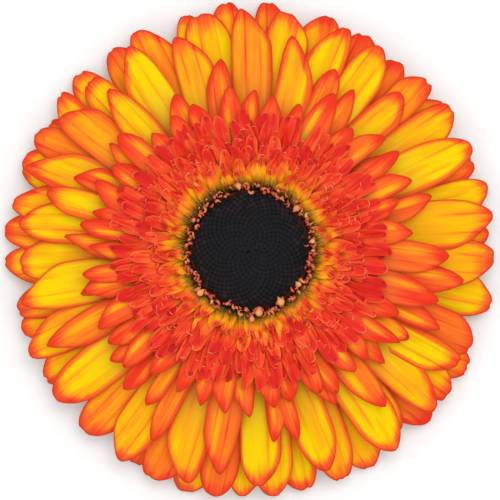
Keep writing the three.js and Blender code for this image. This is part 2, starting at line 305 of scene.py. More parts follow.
def to_outline(points, outline):
    """The distance from each point in a plane to the nearest side of an outline, given by corners."""
    start, along = outline[:-1], np.diff(outline, axis=0)
    away = points[..., None, :] - start
    share = (away * along).sum(axis=-1) / np.maximum((along**2).sum(axis=-1), 1e-9)
    away = away - np.clip(share, 0, 1)[..., None] * along
    return np.hypot(away[..., 0], away[..., 1]).min(axis=-1)


def blade(one, form, luck, relief, tone, number):
    """A closed thin blade along a floret's midline.

    Lines run out from the claw side by side, each as far as the outline there. The tip is an ellipse
    quarter on each side, |u| ** (1 / point) + h ** 2 = 1, with its height h and the place u across it,
    0 where skew puts its end. Two notches near the middle cut teeth into it. Every station is a ring,
    out over the upper face and back under the lower one. relief lifts it off the midline.
    """
    turn = np.linspace(-np.pi / 2, np.pi / 2, form.lines)
    out_and_back = np.r_[0:form.lines, form.lines - 2:0:-1]
    across = np.sin(turn)[out_and_back]
    face = np.r_[np.ones(form.lines), -np.ones(form.lines - 2)]
    span = one.reach[-1] - one.reach[0]
    aim = 1 + (luck.uniform(0, form.overrun) - SHORTER) / span
    rounding = min(luck.uniform(*form.tip) * one.width / span, 0.8)
    skew = luck.uniform(-form.skew, form.skew)
    from_end = np.abs((np.sin(turn) - skew) / (1 - skew * np.sin(turn)))
    rise = np.sqrt(np.clip(1 - from_end ** (1 / luck.uniform(*form.point)), 0, 1))
    notches = np.array([[-0.27], [0.27]]) + luck.normal(0, 0.07, (2, 1))
    depths = luck.uniform(*form.teeth, (2, 1))
    notch = (depths * bell((np.sin(turn) - notches) / 0.12)).sum(axis=0)
    end = np.minimum(aim - rounding * (1 - rise), 1 - (SHORTER + notch) / span)[out_and_back]
    radial = (one.reach - one.reach[0]) / span
    end_share = np.interp(end, radial, one.share)
    steps = 1 - (1 - np.linspace(0, 1, form.stations)[:, None]) ** form.crowd
    along = steps * end_share
    out = np.interp(along, one.share, radial)

    low, high = form.spread
    spread = form.claw / 2 + (one.width - form.claw) / 2 * smooth(out, low, high - low)
    side = across * spread
    plan = np.stack([side, out * span], axis=-1)
    last = form.lines - 1
    edge = to_outline(plan, np.concatenate([plan[:, 0], plan[-1, 1:last], plan[::-1, last]]))

    lift, redness, hollow, closeness, between, dull = relief(one, out, across, luck, tone, edge)
    roll = one.roll * (0.3 + 0.7 * out)
    fullness = (1 - across**2) ** 0.4 * (1 - 0.75 * steps**12)
    lift = lift + face * fullness * one.thickness / 2
    side, lift = side * np.cos(roll) - lift * np.sin(roll), side * np.sin(roll) + lift * np.cos(roll)
    side = side + one.sway * 4 * out * (1 - out)

    courses = (one.reach, one.height, one.lean)
    reach, height, lean = (np.interp(along, one.share, course) for course in courses)
    reach, height = reach - np.sin(lean) * lift, height + np.cos(lean) * lift
    return SimpleNamespace(
        points=about_axis(one.direction, reach, side, height),
        place=np.stack([across * spread, along * one.length, number + 0 * out], axis=-1),
        # The tint's last part is 1 on the back, and elsewhere the painted shade at the claw.
        tint=np.stack([redness, hollow, np.maximum(face < 0, dull)], axis=-1),
        edge=np.stack([edge, closeness, between + 0 * out], axis=-1),
    )


def petal_relief(settings, margin_share, stripe=0):
    """The relief of a long floret: a channel near its claw, sides that fall away further out, two
    grooves, ruffled edges and a tip that curls a little. It is redder at the claw, along the edges
    and in the grooves. A short one has a yellow stripe beside its middle and a dark point, the
    hollow, at its very end. Near the claw it gets painted shade, where the rows above lie over it."""

    def relief(one, out, across, luck, tone, edge):
        broad = one.width / 9
        phase, curl = luck.uniform(0, 1), luck.uniform(-0.6, 1.0)
        camber = settings.camber / MM * broad * luck.uniform(0.2, 1.4)
        fold = luck.uniform(0, 0.5) * broad
        groove = settings.groove / MM * luck.uniform(0.6, 1.3)
        centre, side = luck.uniform(-0.08, 0.08), luck.choice([-1, 1])
        creases = sum(
            luck.uniform(0.3, 1.2) * bell((across - centre - at) / 0.1) for at in (-0.36, 0.36)
        )
        waves = np.sin(2 * np.pi * (1.6 * out + phase) + np.where(across < 0, 1.9, 0))
        open_part = smooth(out, 0.12, 0.4)
        aside = np.abs(across)
        lift = 0.9 * (1 - out) ** 2 * across**2
        lift = lift - camber * across**2 * open_part - fold * aside * open_part
        lift = lift - groove * creases * open_part * (1 - 0.5 * out)
        lift = lift + settings.ruffle / MM * waves * aside**3 * open_part + curl * smooth(out, 0.7, 0.3) ** 2
        to_tip = (1 - out) * (one.reach[-1] - one.reach[0])
        closeness = np.clip(1 - to_tip / (settings.flush / MM * luck.uniform(0.75, 1.25)), 0, 1)
        claw = 0.24 * (1 - smooth(out, 0, 0.6)) * (0.4 + 0.6 * aside)
        strong = np.where(across * side > 0, luck.uniform(0.6, 1.1), luck.uniform(0.1, 0.75))
        strong = strong + (1 - strong) * smooth(1.2 - to_tip / 3)
        line = edge / (settings.margin / MM * (0.35 + 0.75 * strong))
        crisp = luck.uniform(0.15, 0.7)
        line = margin_share * (0.55 + 0.45 * strong) * (1 - smooth((line - crisp) / (1 - crisp)))
        crease = 0.12 * creases * smooth(out, 0, 0.3)
        beside = smooth(across * side, 0.02, 0.18) * (1 - smooth(across * side, 0.42, 0.4))
        beside = beside * smooth(out, 0.25, 0.2) * (1 - smooth(out, 0.76, 0.18))
        tone = tone * (1 - stripe * luck.uniform(0.4, 0.8) * beside)
        redness = 1 - (1 - tone) * (1 - claw) * (1 - line) * (1 - crease)
        point = luck.uniform(0.5, 1.3) * stripe - to_tip
        # Painted shade towards the claw, where the rows above lie over it.
        dull = luck.uniform(0.2, 1) * (1 - smooth(out, 0.4, 0.35)) + 0 * across
        return lift, redness, point, closeness, across - centre, dull

    return relief


def spoon_relief(settings, claw_tone, length_share, dark_share, darkest):
    """The relief of a crown floret: its sides stand up more and more to the end, which turns up too.
    The claw and the rim are yellower, and the spoon red. Its hollow gets painted shade, an ellipse
    near the end, large and dark on a share of the florets, and never deeper than darkest."""

    def relief(one, out, across, luck, tone, edge):
        to_tip = (1 - out) * (one.reach[-1] - one.reach[0])
        length = one.width * length_share * luck.uniform(0.8, 1.2)
        spoon = smooth((1.4 * length - to_tip) / (0.8 * length))
        cup = settings.cup / MM * luck.uniform(0.3, 1.0) * one.width / 3
        scoop = settings.scoop / MM * luck.uniform(0.1, 1.2)
        lift = cup * across**2 * (0.35 + 0.65 * spoon) + scoop * smooth(1 - to_tip / 2) ** 2
        rim = 0.78 + 0.22 * smooth(edge, 0, 0.5)
        redness = claw_tone + (tone * rim - claw_tone) * spoon
        # The hollow is painted shade: a darker ellipse near the end, dark on a share of the florets and
        # faint on the rest.
        dark, pale = luck.uniform(0.8, 1.5), luck.uniform(-0.5, 0.3)
        extent = luck.choice([dark, pale], p=[dark_share, 1 - dark_share])
        from_end, from_side = luck.uniform(0.4, 1.1), luck.uniform(-0.3, 0.3)
        length, breadth = luck.uniform(0.6, 1.2), luck.uniform(1.0, 1.7)
        hollow = extent - np.hypot(
            (to_tip - from_end) / length, (across - from_side) * one.width / breadth
        )
        hollow = np.minimum(hollow, darkest)
        # How strong the painted highlight along the rim at the end is.
        pale = luck.choice([0.0, 0.35, 0.9])
        closeness = pale * np.clip(1 - to_tip / 1.1, 0, 1) + 0 * across
        return lift, redness, hollow, closeness, across, np.zeros_like(lift)

    return relief


def bract_relief(one, out, across, luck, tone, edge):
    """The relief of a bract: a keel along its middle, sides that stand up. It is browner at its end."""
    lift = 0.5 * across**2 - 0.45 * bell(across / 0.3) * (1 - out)
    return lift, tone + 0 * lift, np.zeros_like(out), out + 0 * across, across, np.zeros_like(lift)


def tube_faces(number, stations, around):
    """Faces of closed tubes with an even number of corners around: quads between the rings, and each
    end zipped shut from side to side, with a triangle first and last. Returns the faces by corner,
    and where each corner lies on the tubes unrolled side by side."""
    i, j = np.indices((stations - 1, around)).reshape(2, -1)
    ring = [(i, j), (i + 1, j), (i + 1, j + 1), (i, j + 1)]
    quads = np.stack([a * around + b % around for a, b in ring], axis=-1)
    flat = np.stack([np.stack([b / around, a / (stations - 1)], axis=-1) for a, b in ring], axis=1)
    flat[..., 1] = 0.03 + 0.94 * flat[..., 1]

    half = around // 2
    j = np.arange(half)
    zipped = np.stack([j, j + 1, around - j - 1, (around - j) % around], axis=-1)
    upper = np.stack([j, j + 1, j + 1, j], axis=-1) / half
    foot = np.stack([upper, np.broadcast_to([0, 0, 0.02, 0.02], upper.shape)], axis=-1)
    kept = np.ones(zipped.shape, bool)
    kept[0, 3] = kept[-1, 2] = False
    faces = np.vstack([quads, zipped, zipped[:, ::-1] + (stations - 1) * around])
    flat = np.vstack([flat, foot, foot[:, ::-1] + [0, 0.98]])
    kept = np.vstack([np.ones(quads.shape, bool), kept, kept[:, ::-1]])

    corners = faces[kept] + (np.arange(number) * stations * around)[:, None]
    ends = np.cumsum(np.tile(kept.sum(axis=1), number))
    columns = max(1, math.ceil(math.sqrt(number * 2)))
    rows = math.ceil(number / columns)
    cell = np.stack([np.arange(number) % columns, np.arange(number) // columns], axis=-1)
    return (
        np.split(corners.ravel(), ends[:-1]),
        (cell[:, None] + 0.02 + 0.96 * flat[kept]) / [columns, rows],
    )


def placed(name, data):
    """An object of the scene with this data."""
    made = bpy.data.objects.new(name, data)
    bpy.context.scene.collection.objects.link(made)
    return made


def add_piece(name, node, slot, material, tubes):
    """Puts closed tubes, in millimetres about the axis as (number, stations, around, 3), into a piece
    that stands for a CAD node, with what else they hold as attributes."""
    faces, flat = tube_faces(*tubes.points.shape[:3])
    mesh = bpy.data.meshes.new(name)
    mesh.from_pydata((tubes.points.reshape(-1, 3) + [*AXIS, 0]) * MM, [], faces)
    mesh.uv_layers.new(name="OFBake").data.foreach_set("uv", flat.astype(np.float32).ravel())
    for attribute, values in vars(tubes).items():
        if attribute != "points":
            made = mesh.attributes.new(attribute, "FLOAT_VECTOR", "POINT")
            made.data.foreach_set("vector", values.astype(np.float32).ravel())
    mesh.polygons.foreach_set("use_smooth", np.ones(len(mesh.polygons), bool))
    mesh.set_sharp_from_angle(angle=math.radians(CREASE))
    mesh.materials.append(material)
    mesh.update()
    made = placed(name, mesh)
    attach(made, "root")
    if node:
        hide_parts(node)


def gathered(blades):
    """Blades of one kind as one set of arrays."""
    return SimpleNamespace(
        **{key: np.stack([getattr(one, key) for one in blades]) for key in vars(blades[0])}
    )


def toned(points, tone):
    """Tubes with a tone at each point, as the tint's first part."""
    return SimpleNamespace(points=points, tint=(tone + 0 * points[..., 0])[..., None] * [1, 0, 0])


def swept(paths, radii, around, tone):
    """Closed round tubes about paths of shape (number, stations, 3), each ring square to its path."""
    ahead = np.gradient(paths, axis=1)
    ahead = ahead / np.linalg.norm(ahead, axis=-1, keepdims=True)
    least = np.eye(3)[np.abs(ahead[:, :1]).argmin(axis=-1)]
    side = np.cross(ahead, np.broadcast_to(least, ahead.shape))
    side = side / np.linalg.norm(side, axis=-1, keepdims=True)
    over = np.cross(side, ahead)
    turn = 2 * np.pi * np.arange(around) / around
    ring = np.cos(turn)[:, None] * side[:, :, None] + np.sin(turn)[:, None] * over[:, :, None]
    return toned(paths[:, :, None] + radii[:, :, None, None] * ring, tone[..., None])


def turned(distance, height, tone, around, ribs=0, depth=0.0):
    """A profile of distances and heights turned about the axis, as one closed tube of rings. Between
    ribs, that many round the axis, it lies lower by the profile's depth, as a cosine of the turn."""
    turn = 2 * np.pi * np.arange(around) / around
    out = distance[:, None] - np.multiply.outer(depth, 0.5 - 0.5 * np.cos(ribs * turn))
    return toned(about_axis(turn, out, 0, height[:, None] + 0 * out)[None], tone[:, None])


def add(tree, kind, *sources, named=None, **settings):
    """Adds a node. Sources go to its inputs in order, and named ones by name: values, outputs, or
    nodes for their first output."""
    made = tree.nodes.new(kind)
    for key, value in settings.items():
        setattr(made, key, value)
    for key, source in [*enumerate(sources), *(named or {}).items()]:
        if isinstance(source, bpy.types.Node):
            source = source.outputs[0]
        if isinstance(source, bpy.types.NodeSocket):
            tree.links.new(source, made.inputs[key])
        else:
            made.inputs[key].default_value = source
    return made


def new_material(name, **shader):
    """A material with one shader, whose constant values are set on its own sockets."""
    material = bpy.data.materials.new(name)
    material.use_nodes = True
    tree = material.node_tree
    made = tree.nodes["Principled BSDF"]
    for key, value in shader.items():
        made.inputs[key.replace("_", " ").title().replace("Ior", "IOR")].default_value = value
    return material, tree, made


def maths(tree, operation, *sources, **settings):
    """Adds a step of arithmetic."""
    return add(tree, "ShaderNodeMath", *sources, operation=operation, **settings)


def mapped(tree, source, low, high, first, last, course="LINEAR"):
    """Maps a source from the stretch between low and high to the one from first to last."""
    return add(tree, "ShaderNodeMapRange", source, low, high, first, last, interpolation_type=course)


def eased(tree, *values):
    """As mapped, but level at both ends."""
    return mapped(tree, *values, "SMOOTHSTEP")


def swung(tree, noise, first, last):
    """Maps nearly all of a noise to the stretch from first to last."""
    return mapped(tree, noise, NOISE_LOW, NOISE_HIGH, first, last)


def mixed(tree, share, *shades):
    """The output of a mix of two shades, each an output or a colour."""
    first, second = (
        shade if isinstance(shade, (bpy.types.Node, bpy.types.NodeSocket)) else (*shade, 1)
        for shade in shades
    )
    return add(tree, "ShaderNodeMix", data_type="RGBA", named={0: share, 6: first, 7: second}).outputs[2]


def parts(tree, attribute):
    """The three parts of an attribute."""
    vector = add(tree, "ShaderNodeAttribute", attribute_name=attribute).outputs["Vector"]
    return add(tree, "ShaderNodeSeparateXYZ", vector).outputs


def blade_noise(tree, across, along, apart):
    """Noise on blades, with so many spots to the millimetre across and along, and set apart from one
    blade to the next."""
    place = add(tree, "ShaderNodeAttribute", attribute_name="place").outputs["Vector"]
    drawn = add(tree, "ShaderNodeVectorMath", place, (across, along, apart), operation="MULTIPLY")
    return add(tree, "ShaderNodeTexNoise", named={"Vector": drawn, "Scale": 1.0, "Detail": 2.0})


def finish_shader(tree, shader, shade, height, strength, depth):
    """Gives a shader its colour and a fine relief, its depth in millimetres."""
    tree.links.new(shade, shader.inputs["Base Color"])
    named = {"Height": height, "Strength": strength, "Distance": depth * MM}
    tree.links.new(add(tree, "ShaderNodeBump", named=named).outputs[0], shader.inputs["Normal"])


def petal_tissue(name, settings, shine, rim, rim_width, rim_shares, groove, **stops):
    """Living petal tissue: matt, with a faint shine, its colour in fine lengthwise veins that run
    from yellow to red, by the stops, and carry the tip's red inwards in streaks. Its hollows are
    crimson: painted shade in the crown's cups, and the short petals' own dark points. Its rim is a
    thin line, with one strength along the sides and another at the end: on the long petals partly
    their red edge and partly painted shade, on the crown a painted highlight. groove gives the place
    and width of a fine line on both sides of the middle, as shares of the half width, and how much
    redder it is. The back is duller, and the claw gets painted shade in that duller colour."""
    material, tree, shader = new_material(name, roughness=0.6, specular_ior_level=shine)
    redness, hollow, dull = parts(tree, "tint")
    edge, closeness, across = parts(tree, "edge")
    per_vein = MM / settings.vein
    veins = blade_noise(tree, per_vein, per_vein / 40, 5.3)
    broad = blade_noise(tree, 0.5, 0.07, 3.1)

    streak = maths(tree, "ADD", swung(tree, broad, 0.7, 1.3), swung(tree, veins, -0.22, 0.22))
    flush = maths(tree, "MULTIPLY", closeness, streak)
    flush = eased(tree, flush, 0.15, 1.0, 0.0, 0.66)
    place_across, width_across, redder = groove
    line = maths(tree, "ABSOLUTE", across)
    line = maths(tree, "SUBTRACT", line, place_across)
    line = eased(tree, maths(tree, "ABSOLUTE", line), 0.0, width_across, redder, 0.0)
    line = maths(tree, "MULTIPLY", line, mapped(tree, broad, 0.4, 0.6, 0.1, 1.0))
    total = maths(tree, "ADD", redness, swung(tree, veins, -0.05, 0.05))
    total = maths(tree, "ADD", total, line)
    total = maths(tree, "ADD", total, swung(tree, broad, -0.16, 0.16), use_clamp=True)
    total = mapped(tree, flush, 0.0, 1.0, total, 1.0)
    shade = add(tree, "ShaderNodeValToRGB", total)
    elements = shade.color_ramp.elements
    while len(elements) < len(stops):
        elements.new(1)
    for element, (key, stop) in zip(elements, stops.items()):
        element.position = stop
        element.color = (*getattr(settings, key), 1)

    # Crimson over the hollows: painted shade in the crown's cups, and the short petals' own dark points.
    deep = maths(tree, "ADD", hollow, swung(tree, veins, -0.3, 0.3))
    shade = mixed(tree, eased(tree, deep, 0.0, 0.6, 0.0, 0.9), shade, settings.crimson)
    # The rim line: on the long petals partly their red edge and partly painted shade, on the crown a painted
    # highlight.
    thin = eased(tree, edge, 0.3 * rim_width, rim_width, 1.0, 0.0)
    thin = maths(tree, "MULTIPLY", thin, mapped(tree, closeness, 0.0, 1.0, *rim_shares))
    shade = mixed(tree, thin, shade, rim)
    # The duller colour on the back, and the same colour as painted shade at the claw.
    shade = mixed(tree, maths(tree, "MULTIPLY", dull, 0.5), shade, settings.underside)
    finish_shader(tree, shader, shade, veins, 0.3, 0.05)
    return material


def petal_material(name, settings):
    """The long petals' tissue: yellow to red, with a red line round the tip, partly their own red edge and
    partly painted shade.
    """
    return petal_tissue(
        name, settings, 0.06, settings.outline, 0.5, (0.65, 0.85), (0.36, 0.07, 0.3),
        vivid=0, yellow=0.15, amber=0.31, orange=0.55, coral=0.82, red=1,
    )


def crown_material(name, settings):
    """The crown's petal tissue: red spoons over yellow claws, with a pale line round the end, a painted
    highlight.
    """
    return petal_tissue(
        name, settings, 0.14, settings.pink, 0.26, (0.0, 0.95), (0.0, 0.2, 0.3),
        yellow=0, amber=0.2, orange=0.4, coral=0.61, red=0.8, deep=0.96,
    )


def two_tone_material(name, first, second, mottles, **shader):
    """Plant tissue that goes from one colour to another with its tone, finely mottled, with so many
    mottles to the metre."""
    material, tree, made = new_material(name, **shader)
    place = add(tree, "ShaderNodeTexCoord").outputs["Object"]
    mottle = add(tree, "ShaderNodeTexNoise", named={"Vector": place, "Scale": mottles, "Detail": 3.0})
    tone = parts(tree, "tint")[0]
    tone = maths(tree, "ADD", tone, swung(tree, mottle, -0.25, 0.25), use_clamp=True)
    finish_shader(tree, made, mixed(tree, tone, first, second), mottle, 0.4, 0.08)
    return material


def bract_material(name, settings):
    """Leaf tissue: matt green with fine lengthwise veins, a pale keel and a brown end."""
    material, tree, shader = new_material(name, roughness=0.65, specular_ior_level=0.2)
    per_vein = MM / settings.vein
    veins = blade_noise(tree, per_vein, per_vein / 25, 5.3)
    edge, out, across = parts(tree, "edge")
    tone = maths(tree, "ADD", parts(tree, "tint")[0], swung(tree, veins, -0.3, 0.3))
    tone = maths(tree, "ADD", tone, eased(tree, out, 0.55, 1.0, 0.0, 0.8), use_clamp=True)
    shade = mixed(tree, tone, settings.leaf, settings.edge)
    keel = eased(tree, maths(tree, "ABSOLUTE", across), 0.0, 0.25, 0.4, 0.0)
    finish_shader(tree, shader, mixed(tree, keel, shade, settings.pith), veins, 0.7, 0.12)
    return material


class GerberaOperator:
    """What the operators share: each builds its pieces and reports that it is done."""

    bl_options = {"REGISTER", "UNDO"}

    def execute(self, context):
        self.build(context.scene)
        return {"FINISHED"}


def tones_of(kind):
    """How red each floret of a row is: by its letter, or drawn for the short red florets."""
    if kind in ROWS:
        return [TONES[letter] for letter in ROWS[kind]]
    luck = np.random.default_rng([SEED, 5])
    return luck.uniform(TONES["c"] + 0.08, TONES["r"] + 0.08, RED_COUNT)


def dress_petals(florets, settings, luck, swing, broaden, stagger=0.0):
    """Gives each floret its width, roll, sideways sway and thickness. In a crowded row they are
    broadened, and lifted or lowered by turns to lie over or under their neighbours."""
    for index, one in enumerate(florets):
        one.width = one.width * broaden * luck.uniform(0.95, 1.05)
        one.roll = luck.uniform(-1, 1) * settings.roll
        one.sway = luck.normal(0, swing)
        one.thickness = settings.thickness / MM
        one.height = one.height + stagger * (-1) ** index * smooth(one.share, 0, 0.6)


def separate_petals(settings, kind, form, offset, broaden=1.0):
    """Fine blades for a row whose florets are a CAD node each."""
    material = petal_material(f"{kind} petal tissue", settings)
    relief = petal_relief(settings, 0.74)
    for index, tone in enumerate(tones_of(kind)):
        luck = np.random.default_rng([SEED, offset, index])
        node = f"{kind}_floret_{index + 1:02d}"
        one = floret(corners_of(node)[0], ())
        dress_petals([one], settings, luck, 0.7, broaden)
        made = gathered([blade(one, form, luck, relief, tone, index)])
        add_piece(f"{kind}_petal_{index + 1:02d}", node, "petal_yellow", material, made)


def joined_petals(settings, kind, form, slot, offset, stripe=0, broaden=1.0, stagger=0.0):
    """Fine blades for a row that is one CAD node."""
    node = f"{kind}_florets"
    material = petal_material(f"{node} tissue", settings)
    relief = petal_relief(settings, 0.7, stripe)
    luck = np.random.default_rng([SEED, offset])
    florets = florets_of(node)
    dress_petals(florets, settings, luck, 0.6, broaden, stagger)
    blades = [
        blade(one, form, luck, relief, tone, index)
        for index, (one, tone) in enumerate(zip(florets, tones_of(kind)))
    ]
    add_piece(f"{kind}_petals", node, slot, material, gathered(blades))


class GERBERA_OT_petals(GerberaOperator, bpy.types.Operator):
    """Build the five rows of petals"""

    bl_idname = "gerbera.petals"
    bl_label = "Petals"

    def build(self, scene):
        settings = scene.gerbera_petals
        separate_petals(settings, "back", LONG_BLADE, 1, broaden=1.12)
        joined_petals(settings, "second", LONG_BLADE, "petal_yellow", 2, broaden=1.08)
        separate_petals(settings, "front", FRONT_BLADE, 3)
        joined_petals(settings, "middle", SHORT_BLADE, "petal_orange", 4, stripe=1.0, stagger=0.15)
        joined_petals(settings, "red", SHORT_BLADE, "petal_red", 6, stripe=0.9, broaden=1.12, stagger=0.3)


class GERBERA_OT_crown(GerberaOperator, bpy.types.Operator):
    """Build the crown of small cupped florets"""

    bl_idname = "gerbera.crown"
    bl_label = "Crown"

    # For each CAD ring: its florets in one circle, the circles' reaches, the florets' widths and how
    # much lower than the CAD florets they lie in millimetres, how red their claws and spoons are, how
    # long a spoon is against its width, the share of hollows with dark painted shade and how dark that
    # painted shade is at most.
    RINGS = {
        "outer_crown": (54, (31.0, 29.2, 27.5), (3.1, 2.9, 2.8), 0.6, 0.62, 0.97, 1.6, 0.7, 1.0),
        "middle_crown": (46, (25.9, 24.4, 22.9), (2.8, 2.6, 2.5), 1.25, 0.5, 0.95, 1.3, 0.75, 0.8),
        "inner_crown": (38, (21.5, 20.1, 18.8), (2.6, 2.3, 2.1), 1.6, 0.19, 0.76, 0.9, 0.95, 0.4),
    }

    def build(self, scene):
        settings = scene.gerbera_crown
        material = crown_material("crown floret tissue", scene.gerbera_petals)
        for offset, (node, row) in enumerate(self.RINGS.items()):
            count, reaches, widths, lower, claw, red, *spoon = row
            luck = np.random.default_rng([SEED, 10 + offset])
            ring = florets_of(node)[0]
            relief = spoon_relief(settings, claw, *spoon)
            foot = ring.reach[0]
            blades = []
            for level, index in np.ndindex(len(reaches), count):
                place = index + level / len(reaches)
                one = SimpleNamespace(**vars(ring))
                one.direction = 2 * math.pi * place / count + luck.normal(0, settings.sway)
                one.width = widths[level] * luck.uniform(0.75, 1.2)
                one.roll = luck.uniform(-1, 1) * settings.roll
                one.sway = luck.normal(0, 0.4)
                one.thickness = settings.thickness / MM
                reach = reaches[level] + luck.normal(0, 0.55)
                one.reach = foot + (ring.reach - foot) * (reach - foot) / (ring.reach[-1] - foot)
                one.height = ring.height - (lower + luck.uniform(-0.3, 0.3)) * smooth(ring.share)
                tone = red * luck.uniform(0.78, 1.02)
                blades.append(blade(one, SPOON_BLADE, luck, relief, tone, place * 3))
            add_piece(f"{node}_spoons", node, "petal_red", material, gathered(blades))


class GERBERA_OT_lips(GerberaOperator, bpy.types.Operator):
    """Build the thin pale lips that curl inside the crown's florets"""

    bl_idname = "gerbera.lips"
    bl_label = "Lips"

    def build(self, scene):
        settings = scene.gerbera_petals
        material = two_tone_material(
            "thin lip tissue", settings.coral, settings.pink, 900.0, roughness=0.5
        )
        luck = np.random.default_rng([SEED, 15])
        count, stations = 150, 8
        each = (count, 1)
        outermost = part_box("outer_crown")[1][0] / MM - 4
        direction = luck.uniform(0, 2 * np.pi, each)
        middle = luck.uniform(19.5, outermost, each)
        radius = luck.uniform(0.5, 1.3, each)
        bow = luck.uniform(0.5, 1.2, each) / radius**0.7
        turn = np.linspace(-1, 1, stations) * bow + luck.normal(0, 0.6, each)
        top = np.interp(middle, [19, 24, 31], [24.6, 24.0, 22.9]) + luck.uniform(-0.2, 0.25, each)
        height = top + 0.25 * np.cos(2 * turn)
        paths = about_axis(direction, middle + radius * np.cos(turn), radius * np.sin(turn), height)
        radii = 0.12 * np.sin(np.linspace(0.25, np.pi - 0.25, stations)) * np.ones(each)
        made = swept(paths, radii, 6, luck.uniform(0.6, 1, each))
        add_piece("curled_lips", None, "petal_red", material, made)


# The few swollen pale florets, as direction in degrees, distance from the axis and length.
SWOLLEN = (
    (41.6, 13.4, 1.9), (100, 14.0, 1.7), (220.5, 14.1, 2.0), (271.7, 14.9, 1.6),
    (278.5, 13.5, 2.2), (300.6, 12.9, 2.2), (325, 12.8, 1.5), (7.6, 13.6, 1.4),
)


def add_curls(luck, top, material):
    """Thin corollas that end in a hook: a straight foot up to the bend, then an arc in a tilted plane."""
    count, stations, bend = 160, 9, 0.2
    each = (count, 1)
    share = np.linspace(0, 1, stations)
    direction = 2 * np.pi * (np.arange(count)[:, None] + luck.normal(0, 0.35, each)) / count
    foot = luck.uniform(12.7, 14.6, each)
    radius = luck.uniform(0.24, 0.64, each)
    spin = luck.uniform(0, 2 * np.pi, each)
    tilt = 0.3 + 0.15 * luck.uniform(0, 2 * np.pi, each)
    arc = np.clip((share - bend) / (1 - bend), 0, 1) * luck.uniform(1.4, 4.4, each)
    ahead, beside = radius * (1 - np.cos(arc)), radius * np.sin(arc)
    out = foot + ahead * np.cos(spin) - beside * np.sin(spin) * np.cos(tilt)
    along = ahead * np.sin(spin) + beside * np.cos(spin) * np.cos(tilt)
    level = top - 0.75 - luck.uniform(0, 0.9, each)
    height = level + beside * np.sin(tilt) - 6 * np.clip(bend - share, 0, 1) / bend
    radii = luck.uniform(0.18, 0.4, each) * (1 - 0.7 * smooth(share, 0.45, 0.55))
    tone = luck.choice([0.0, 0.25, 0.5, 0.9], each, p=[0.6, 0.25, 0.1, 0.05])
    made = swept(about_axis(direction, out, along, height), radii, 6, tone + 0.15 * share)
    add_piece("opened_disc_florets", "rim_florets", "anther_salmon", material, made)


def add_swollen(luck, top, material):
    """Drop shaped florets that lie with the point to the eye: a swollen tube along a low arch."""
    direction, distance, length = np.array(SWOLLEN).T[:, :, None]
    share = np.linspace(0, 1, 9)
    out = distance + length * (share - 0.45)
    along = luck.normal(0, 0.2, direction.shape) * share**2
    height = top - 0.6 + 0 * out + 0.3 * np.sin(np.pi * share)
    paths = about_axis(np.radians(direction), out, along, height)
    radii = length * (0.03 + 0.36 * np.sin(np.pi * share**1.5) ** 0.8)
    made = swept(paths, radii, 12, luck.uniform(0.7, 1.0, direction.shape))
    add_piece("swollen_disc_florets", None, "anther_salmon", material, made)


class GERBERA_OT_rim_florets(GerberaOperator, bpy.types.Operator):
    """Build the opened disc florets around the eye"""

    bl_idname = "gerbera.rim_florets"
    bl_label = "Rim florets"

    def build(self, scene):
        settings = scene.gerbera_eye
        material = two_tone_material(
            "opened disc floret tissue", settings.salmon, settings.peach, 900.0, roughness=0.45
        )
        luck = np.random.default_rng([SEED, 20])
        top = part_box("rim_florets")[1][2] / MM
        add_curls(luck, top, material)
        add_swollen(luck, top, material)


class GERBERA_OT_bristles(GerberaOperator, bpy.types.Operator):
    """Build the dark bristles between the eye and the crown"""

    bl_idname = "gerbera.bristles"
    bl_label = "Bristles"

    def build(self, scene):
        settings = scene.gerbera_eye
        material = two_tone_material("bristle", settings.gold, settings.bristle, 600.0, roughness=0.7)
        luck = np.random.default_rng([SEED, 30])
        claw = florets_of("inner_crown")[0]
        count, stations, root, highest = 1000, 6, 17, 25.2
        each = (count, 1)
        share = np.linspace(0, 1, stations)
        direction = luck.uniform(0, 2 * np.pi, each)
        foot = luck.uniform(13.1, 14.4, each)
        tip = foot + luck.uniform(0.3, 1.0, each) * luck.uniform(1.0, 3.8, each)
        top = np.minimum(np.interp(tip, claw.reach, claw.height) + 0.5, highest)
        out = foot + (tip - foot) * share**1.5
        height = root + (top - root) * share**0.55
        paths = about_axis(direction, out, luck.normal(0, 0.45, each) * share**2, height)
        radii = luck.uniform(0.09, 0.17, each) * (1.1 - share**2)
        dark = np.clip(1.1 - luck.uniform(0.4, 1.5, each) * share, 0, 1)
        add_piece("bristles", None, "eye_dark", material, swept(paths, radii, 4, dark))


